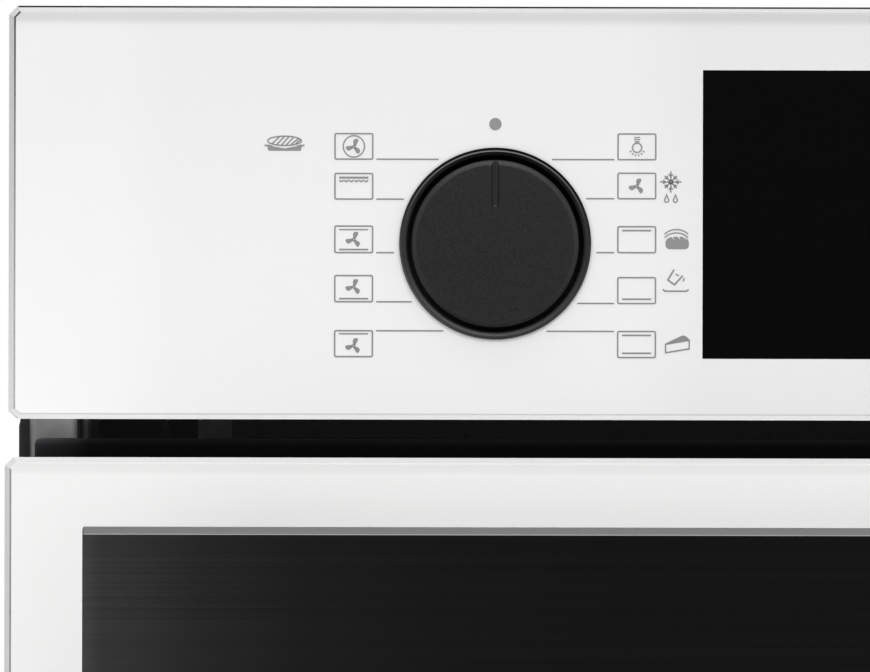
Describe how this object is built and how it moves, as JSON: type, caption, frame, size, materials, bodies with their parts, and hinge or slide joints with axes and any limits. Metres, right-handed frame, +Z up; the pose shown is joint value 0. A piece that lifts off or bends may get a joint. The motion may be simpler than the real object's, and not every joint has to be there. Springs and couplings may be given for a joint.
{
  "type": "wall oven",
  "caption": "Built-in wall oven: white glass control panel with push-pull knobs and a dark display, white glass drop-down door with a flat dark handle, enamelled cavity with shelf and tray.",
  "frame": {"origin": "middle of the bounding box in plan, at the underside of the base panel", "axes": "+X to the right as the user faces the door, +Y into the wall niche, +Z up"},
  "size_m": [0.595, 0.612, 0.595],
  "materials": {
    "white_glass": "white back-printed float glass, ground edges",
    "clear_glass": "clear float glass",
    "black_glass": "black back-printed glass over a display",
    "dark_aluminium": "black anodised, brushed",
    "dark_steel": "heat-darkened sheath",
    "black_coated_steel": "satin black",
    "black_plastic": "fine matt",
    "grey_plastic": "moulded, matt",
    "zinc_coated_steel": "galvanised",
    "bright_steel": "bright",
    "chrome": "polished",
    "enamel": "glossy vitreous enamel",
    "rubber": "matt",
    "mineral_wool": "fibrous",
    "circuit_board": "solder mask",
    "aluminium": "mill finish"
  },
  "bodies": {
    "oven_body": {"air_outlet": "black_plastic", "base_panel": "zinc_coated_steel", "bottom_element": "dark_steel", "cable_gland": "black_plastic", "cavity_liner": "enamel", "control_glass": "white_glass", "convection_baffle": "enamel", "convection_motor": "zinc_coated_steel", "cooling_fan_motor": "zinc_coated_steel", "cooling_fan_scroll": "zinc_coated_steel", "display_board": "circuit_board", "display_lens": "black_glass", "door_gasket": "rubber", "fascia_carrier": "grey_plastic", "front_post_left": "zinc_coated_steel", "front_post_right": "zinc_coated_steel", "function_bezel": "dark_aluminium", "function_switch": "black_plastic", "grill_element": "dark_steel", "hinge_channel_left": "zinc_coated_steel", "hinge_channel_right": "zinc_coated_steel", "hinge_damper_left": "black_coated_steel", "hinge_damper_right": "black_coated_steel", "insulation_blanket": "mineral_wool", "ladder_rack_left": "chrome", "ladder_rack_right": "chrome", "lamp_housing": "bright_steel", "lamp_lens": "clear_glass", "rear_panel": "zinc_coated_steel", "ring_element": "dark_steel", "side_panel_left": "zinc_coated_steel", "side_panel_right": "zinc_coated_steel", "side_trim_left": "rubber", "side_trim_right": "rubber", "temperature_bezel": "dark_aluminium", "temperature_switch": "black_plastic", "terminal_box": "black_plastic", "top_panel": "zinc_coated_steel"},
    "door": {"door_bottom_rail": "aluminium", "door_handle": "dark_aluminium", "door_inner_glass": "clear_glass", "door_middle_glass": "clear_glass", "door_outer_glass": "white_glass", "door_side_profile_left": "aluminium", "door_side_profile_right": "aluminium", "door_top_trim": "black_plastic", "handle_standoff_left": "dark_aluminium", "handle_standoff_right": "dark_aluminium", "hinge_arm_left": "zinc_coated_steel", "hinge_arm_right": "zinc_coated_steel"},
    "hinge_link_left": {"hinge_link_left": "bright_steel"},
    "hinge_link_right": {"hinge_link_right": "bright_steel"},
    "function_spindle": {"function_spindle": "zinc_coated_steel"},
    "function_knob": {"function_knob": "dark_aluminium"},
    "temperature_spindle": {"temperature_spindle": "zinc_coated_steel"},
    "temperature_knob": {"temperature_knob": "dark_aluminium"},
    "convection_fan": {"convection_fan": "bright_steel"},
    "cooling_fan_impeller": {"cooling_fan_impeller": "black_plastic"},
    "wire_shelf": {"wire_shelf": "chrome"},
    "baking_tray": {"baking_tray": "enamel"}
  },
  "joints": [
    {"name": "door_hinge", "type": "hinge", "parent": "oven_body", "child": "door", "pos_m": [0, -0.248, 0.022], "axis": [1, 0, 0], "range_deg": [0, 90], "stiffness_Nm_per_rad": 8, "springref_deg": -20.05},
    {"name": "hinge_link_left_slide", "type": "slide", "parent": "oven_body", "child": "hinge_link_left", "axis": [0, -1, 0], "range_m": [0, 0.01275]},
    {"name": "hinge_link_right_slide", "type": "slide", "parent": "oven_body", "child": "hinge_link_right", "axis": [0, -1, 0], "range_m": [0, 0.01275]},
    {"name": "function_knob_turn", "type": "hinge", "parent": "oven_body", "child": "function_spindle", "pos_m": [-0.1781, -0.25, 0.5373], "axis": [0, 1, 0], "continuous": true},
    {"name": "function_knob_pop", "type": "slide", "parent": "function_spindle", "child": "function_knob", "axis": [0, -1, 0], "range_m": [0, 0.013]},
    {"name": "temperature_knob_turn", "type": "hinge", "parent": "oven_body", "child": "temperature_spindle", "pos_m": [0.1781, -0.25, 0.5373], "axis": [0, 1, 0], "range_deg": [0, 285]},
    {"name": "temperature_knob_pop", "type": "slide", "parent": "temperature_spindle", "child": "temperature_knob", "axis": [0, -1, 0], "range_m": [0, 0.013]},
    {"name": "convection_fan_spin", "type": "hinge", "parent": "oven_body", "child": "convection_fan", "pos_m": [0, 0.2, 0.26], "axis": [0, 1, 0], "continuous": true},
    {"name": "cooling_fan_spin", "type": "hinge", "parent": "oven_body", "child": "cooling_fan_impeller", "pos_m": [0.06, 0.06, 0.49], "axis": [0, 0, 1], "continuous": true},
    {"name": "wire_shelf_slide", "type": "slide", "parent": "oven_body", "child": "wire_shelf", "axis": [0, -1, 0], "range_m": [0, 0.03]},
    {"name": "baking_tray_slide", "type": "slide", "parent": "oven_body", "child": "baking_tray", "axis": [0, -1, 0], "range_m": [0, 0.03]}
  ],
  "couplings": [
    {"joint": "hinge_link_left_slide", "follows": "door_hinge", "m_per_rad": 0.0081},
    {"joint": "hinge_link_right_slide", "follows": "door_hinge", "m_per_rad": 0.0081}
  ]
}
